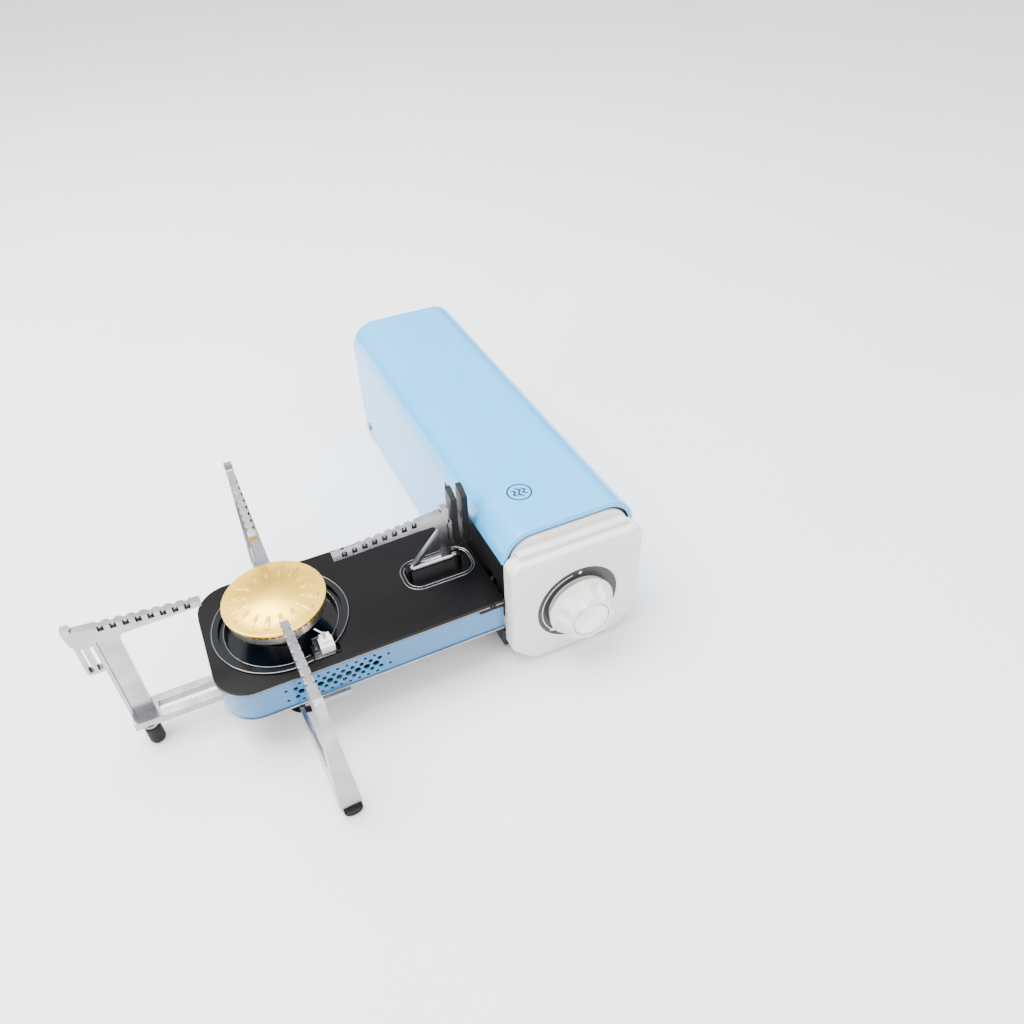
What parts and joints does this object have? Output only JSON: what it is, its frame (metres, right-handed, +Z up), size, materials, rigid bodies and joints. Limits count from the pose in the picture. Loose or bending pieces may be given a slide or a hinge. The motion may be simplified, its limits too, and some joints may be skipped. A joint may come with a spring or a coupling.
{
  "type": "camping stove",
  "caption": "Folding camping stove: a burner body with a brass cap and notched fold-out pan supports beside a cartridge housing with a knob.",
  "frame": {"origin": "centre of the overall box at the resting surface, with the supports out and the cover closed", "axes": "+Z up; +Y along the cartridge housing from its knob to its rear end; +X from the burner to the housing"},
  "size_m": [0.324, 0.3539, 0.1135],
  "materials": {
    "dark_steel": "satin",
    "rubber_black": "matte",
    "blue_cover": "gloss",
    "blue_skirt": "gloss",
    "white_plastic": "gloss",
    "dial_print": "matte",
    "bright_steel": "satin",
    "spun_aluminium": "satin",
    "cast_aluminium": "satin",
    "brass_part": "satin",
    "brass_cap": "satin",
    "black_enamel": "satin",
    "dark_enamel": "gloss",
    "white_ceramic": "gloss",
    "piezo_plastic": "satin",
    "wire_cover": "matte",
    "black_steel": "matte"
  },
  "bodies": {
    "housing": {"chassis": "dark_steel", "housing_pads": "rubber_black", "hinge_pins": "bright_steel", "end_block": "white_plastic", "panel": "white_plastic", "dial_ring": "dial_print", "panel_screws": "bright_steel", "stem_spring": "bright_steel", "valve_body": "brass_part", "gland_nut": "brass_part", "cartridge_collar": "bright_steel", "socket_seal": "rubber_black", "cartridge_cradles": "dark_steel", "push_spring": "bright_steel", "piezo": "piezo_plastic", "igniter_lead": "wire_cover", "gas_pipe": "brass_part", "jet": "brass_part", "mixing_tube": "cast_aluminium", "body_base": "bright_steel", "bridge_bracket": "dark_steel", "inner_plate": "black_steel", "skirt": "blue_skirt", "deck": "black_enamel", "deck_screws": "black_steel", "drip_bowl": "dark_enamel", "burner_head": "spun_aluminium", "burner_cap": "brass_cap", "igniter_bracket": "bright_steel", "igniter_block": "white_ceramic", "electrode": "bright_steel", "rail_guides": "dark_steel", "swing_pins": "black_steel", "stop_bars": "bright_steel", "hinge_cheeks": "black_enamel", "right_pin": "bright_steel"},
    "cover": {"shell": "blue_cover", "shell_end": "blue_cover"},
    "stem": {"valve_stem": "bright_steel"},
    "knob": {"knob": "white_plastic", "knob_cap": "spun_aluminium"},
    "left_support": {"left_arm": "cast_aluminium", "left_rails": "cast_aluminium", "left_foot": "rubber_black"},
    "front_support": {"front_support": "cast_aluminium", "front_foot": "rubber_black"},
    "back_support": {"back_support": "cast_aluminium", "back_foot": "rubber_black"},
    "right_support": {"right_support": "cast_aluminium", "pot_stop": "black_steel"}
  },
  "joints": [
    {"name": "cover_tilt", "type": "hinge", "parent": "housing", "child": "cover", "pos_m": [0.1154, 0.1649, 0.009], "axis": [-1, 0, 0], "range_deg": [0, 62]},
    {"name": "stem_push", "type": "slide", "parent": "housing", "child": "stem", "axis": [0, 1, 0], "range_m": [0, 0.003], "stiffness_N_per_m": 600, "deforming": ["stem_spring"]},
    {"name": "knob_turn", "type": "hinge", "parent": "stem", "child": "knob", "pos_m": [0.1154, -0.1359, 0.042], "axis": [0, -1, 0], "range_deg": [0, 130]},
    {"name": "left_slide", "type": "slide", "parent": "housing", "child": "left_support", "axis": [1, 0, 0], "range_m": [0, 0.035]},
    {"name": "front_swing", "type": "hinge", "parent": "housing", "child": "front_support", "pos_m": [-0.056, -0.1059, 0.0265], "axis": [0, 0, -1], "range_deg": [0, 90]},
    {"name": "back_swing", "type": "hinge", "parent": "housing", "child": "back_support", "pos_m": [-0.056, -0.0359, 0.0265], "axis": [0, 0, 1], "range_deg": [0, 90]},
    {"name": "right_fold", "type": "hinge", "parent": "housing", "child": "right_support", "pos_m": [0.039, -0.0709, 0.0618], "axis": [1, 0, 0], "range_deg": [0, 90]}
  ]
}
